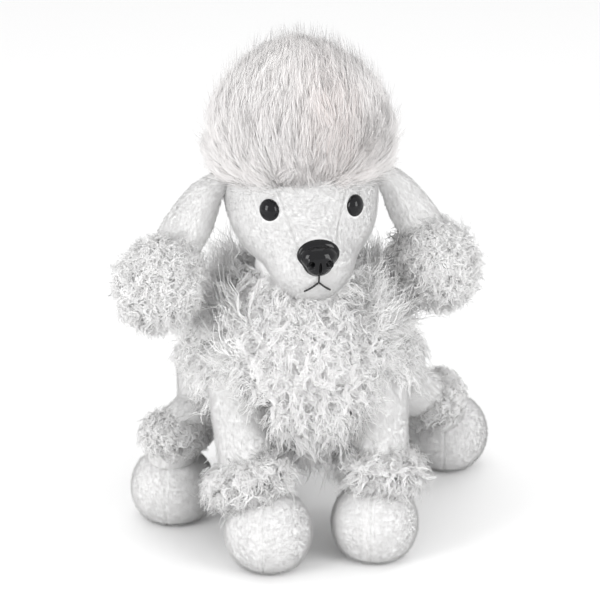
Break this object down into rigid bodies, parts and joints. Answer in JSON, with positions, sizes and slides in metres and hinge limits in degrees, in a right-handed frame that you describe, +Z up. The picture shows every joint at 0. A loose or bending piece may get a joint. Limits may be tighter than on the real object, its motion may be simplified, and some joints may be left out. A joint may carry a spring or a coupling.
{
  "type": "plush poodle toy",
  "caption": "Stuffed white toy poodle with a tall topknot, curly body, cuffs and ear tufts, short-pile face, legs and round paws; head, ears, legs and tail move.",
  "frame": {"origin": "on the floor, under the middle of the toy", "axes": "+Z up, the dog faces -Y, +X is its own left side"},
  "size_m": [0.1856, 0.1712, 0.242],
  "materials": {
    "short_pile": "short white plush",
    "curly_pile": "curly white long pile",
    "long_pile": "long straight white pile",
    "stuffing": "polyester fibre",
    "bag_cloth": "woven lining",
    "black_gloss": "moulded, glossy",
    "black_thread": "embroidery thread",
    "washer": "moulded"
  },
  "bodies": {
    "torso": {"torso_cover": "curly_pile", "torso_stuffing": "stuffing", "pellet_bag": "bag_cloth"},
    "neck": {"neck_sleeve": "short_pile", "neck_stuffing": "stuffing"},
    "head": {"face_gusset": "short_pile", "cheek_left": "short_pile", "cheek_right": "short_pile", "chin_panel": "short_pile", "head_back_panel": "short_pile", "head_stuffing": "stuffing", "crown_panel": "short_pile", "topknot": "long_pile", "eye_right": "black_gloss", "eye_left": "black_gloss", "nose": "black_gloss", "eye_washer_right": "washer", "eye_washer_left": "washer", "nose_washer": "washer", "mouth_stitching": "black_thread"},
    "ear_left": {"ear_left_outer": "short_pile", "ear_left_inner": "short_pile", "ear_left_pom": "curly_pile", "ear_left_pom_stuffing": "stuffing"},
    "ear_right": {"ear_right_inner": "short_pile", "ear_right_outer": "short_pile", "ear_right_pom": "curly_pile", "ear_right_pom_stuffing": "stuffing"},
    "tail": {"tail_cover": "short_pile", "tail_stuffing": "stuffing", "tail_pom": "curly_pile", "tail_pom_stuffing": "stuffing"},
    "front_left_leg": {"front_left_leg_cover": "short_pile", "front_left_leg_stuffing": "stuffing", "front_left_cuff": "curly_pile", "front_left_paw_cover": "short_pile", "front_left_paw_filling": "stuffing"},
    "front_right_leg": {"front_right_leg_cover": "short_pile", "front_right_leg_stuffing": "stuffing", "front_right_cuff": "curly_pile", "front_right_paw_cover": "short_pile", "front_right_paw_filling": "stuffing"},
    "hind_left_leg": {"hind_left_leg_cover": "short_pile", "hind_left_leg_stuffing": "stuffing", "hind_left_cuff": "curly_pile", "hind_left_paw_cover": "short_pile", "hind_left_paw_filling": "stuffing"},
    "hind_right_leg": {"hind_right_leg_cover": "short_pile", "hind_right_leg_stuffing": "stuffing", "hind_right_cuff": "curly_pile", "hind_right_paw_cover": "short_pile", "hind_right_paw_filling": "stuffing"}
  },
  "joints": [
    {"name": "neck_turn", "type": "hinge", "parent": "torso", "child": "neck", "pos_m": [-0.00272, -0.01914, 0.14], "axis": [0, 0, 1], "range_deg": [-20, 20]},
    {"name": "head_nod", "type": "hinge", "parent": "neck", "child": "head", "pos_m": [-0.00272, -0.01914, 0.14], "axis": [1, 0, 0], "range_deg": [-15, 10]},
    {"name": "ear_left_swing", "type": "hinge", "parent": "head", "child": "ear_left", "pos_m": [0.03712, -0.01089, 0.1762], "axis": [0.6601, 0.6601, 0.3584], "range_deg": [-45, 8]},
    {"name": "ear_right_swing", "type": "hinge", "parent": "head", "child": "ear_right", "pos_m": [-0.0456, -0.02548, 0.1762], "axis": [-0.8461, 0.3945, 0.3584], "range_deg": [-8, 45]},
    {"name": "front_left_leg_swing", "type": "hinge", "parent": "torso", "child": "front_left_leg", "pos_m": [0.03328, -0.02514, 0.092], "axis": [1, 0, 0], "range_deg": [-20, 20]},
    {"name": "front_right_leg_swing", "type": "hinge", "parent": "torso", "child": "front_right_leg", "pos_m": [-0.03772, -0.02514, 0.092], "axis": [1, 0, 0], "range_deg": [-20, 20]},
    {"name": "hind_left_leg_swing", "type": "hinge", "parent": "torso", "child": "hind_left_leg", "pos_m": [0.04328, 0.02286, 0.074], "axis": [1, 0, 0], "range_deg": [-20, 20]},
    {"name": "hind_right_leg_swing", "type": "hinge", "parent": "torso", "child": "hind_right_leg", "pos_m": [-0.05272, 0.01786, 0.074], "axis": [1, 0, 0], "range_deg": [-20, 20]},
    {"name": "tail_swing", "type": "hinge", "parent": "torso", "child": "tail", "pos_m": [-0.00472, 0.05486, 0.094], "axis": [1, 0, 0], "range_deg": [-20, 20]}
  ]
}
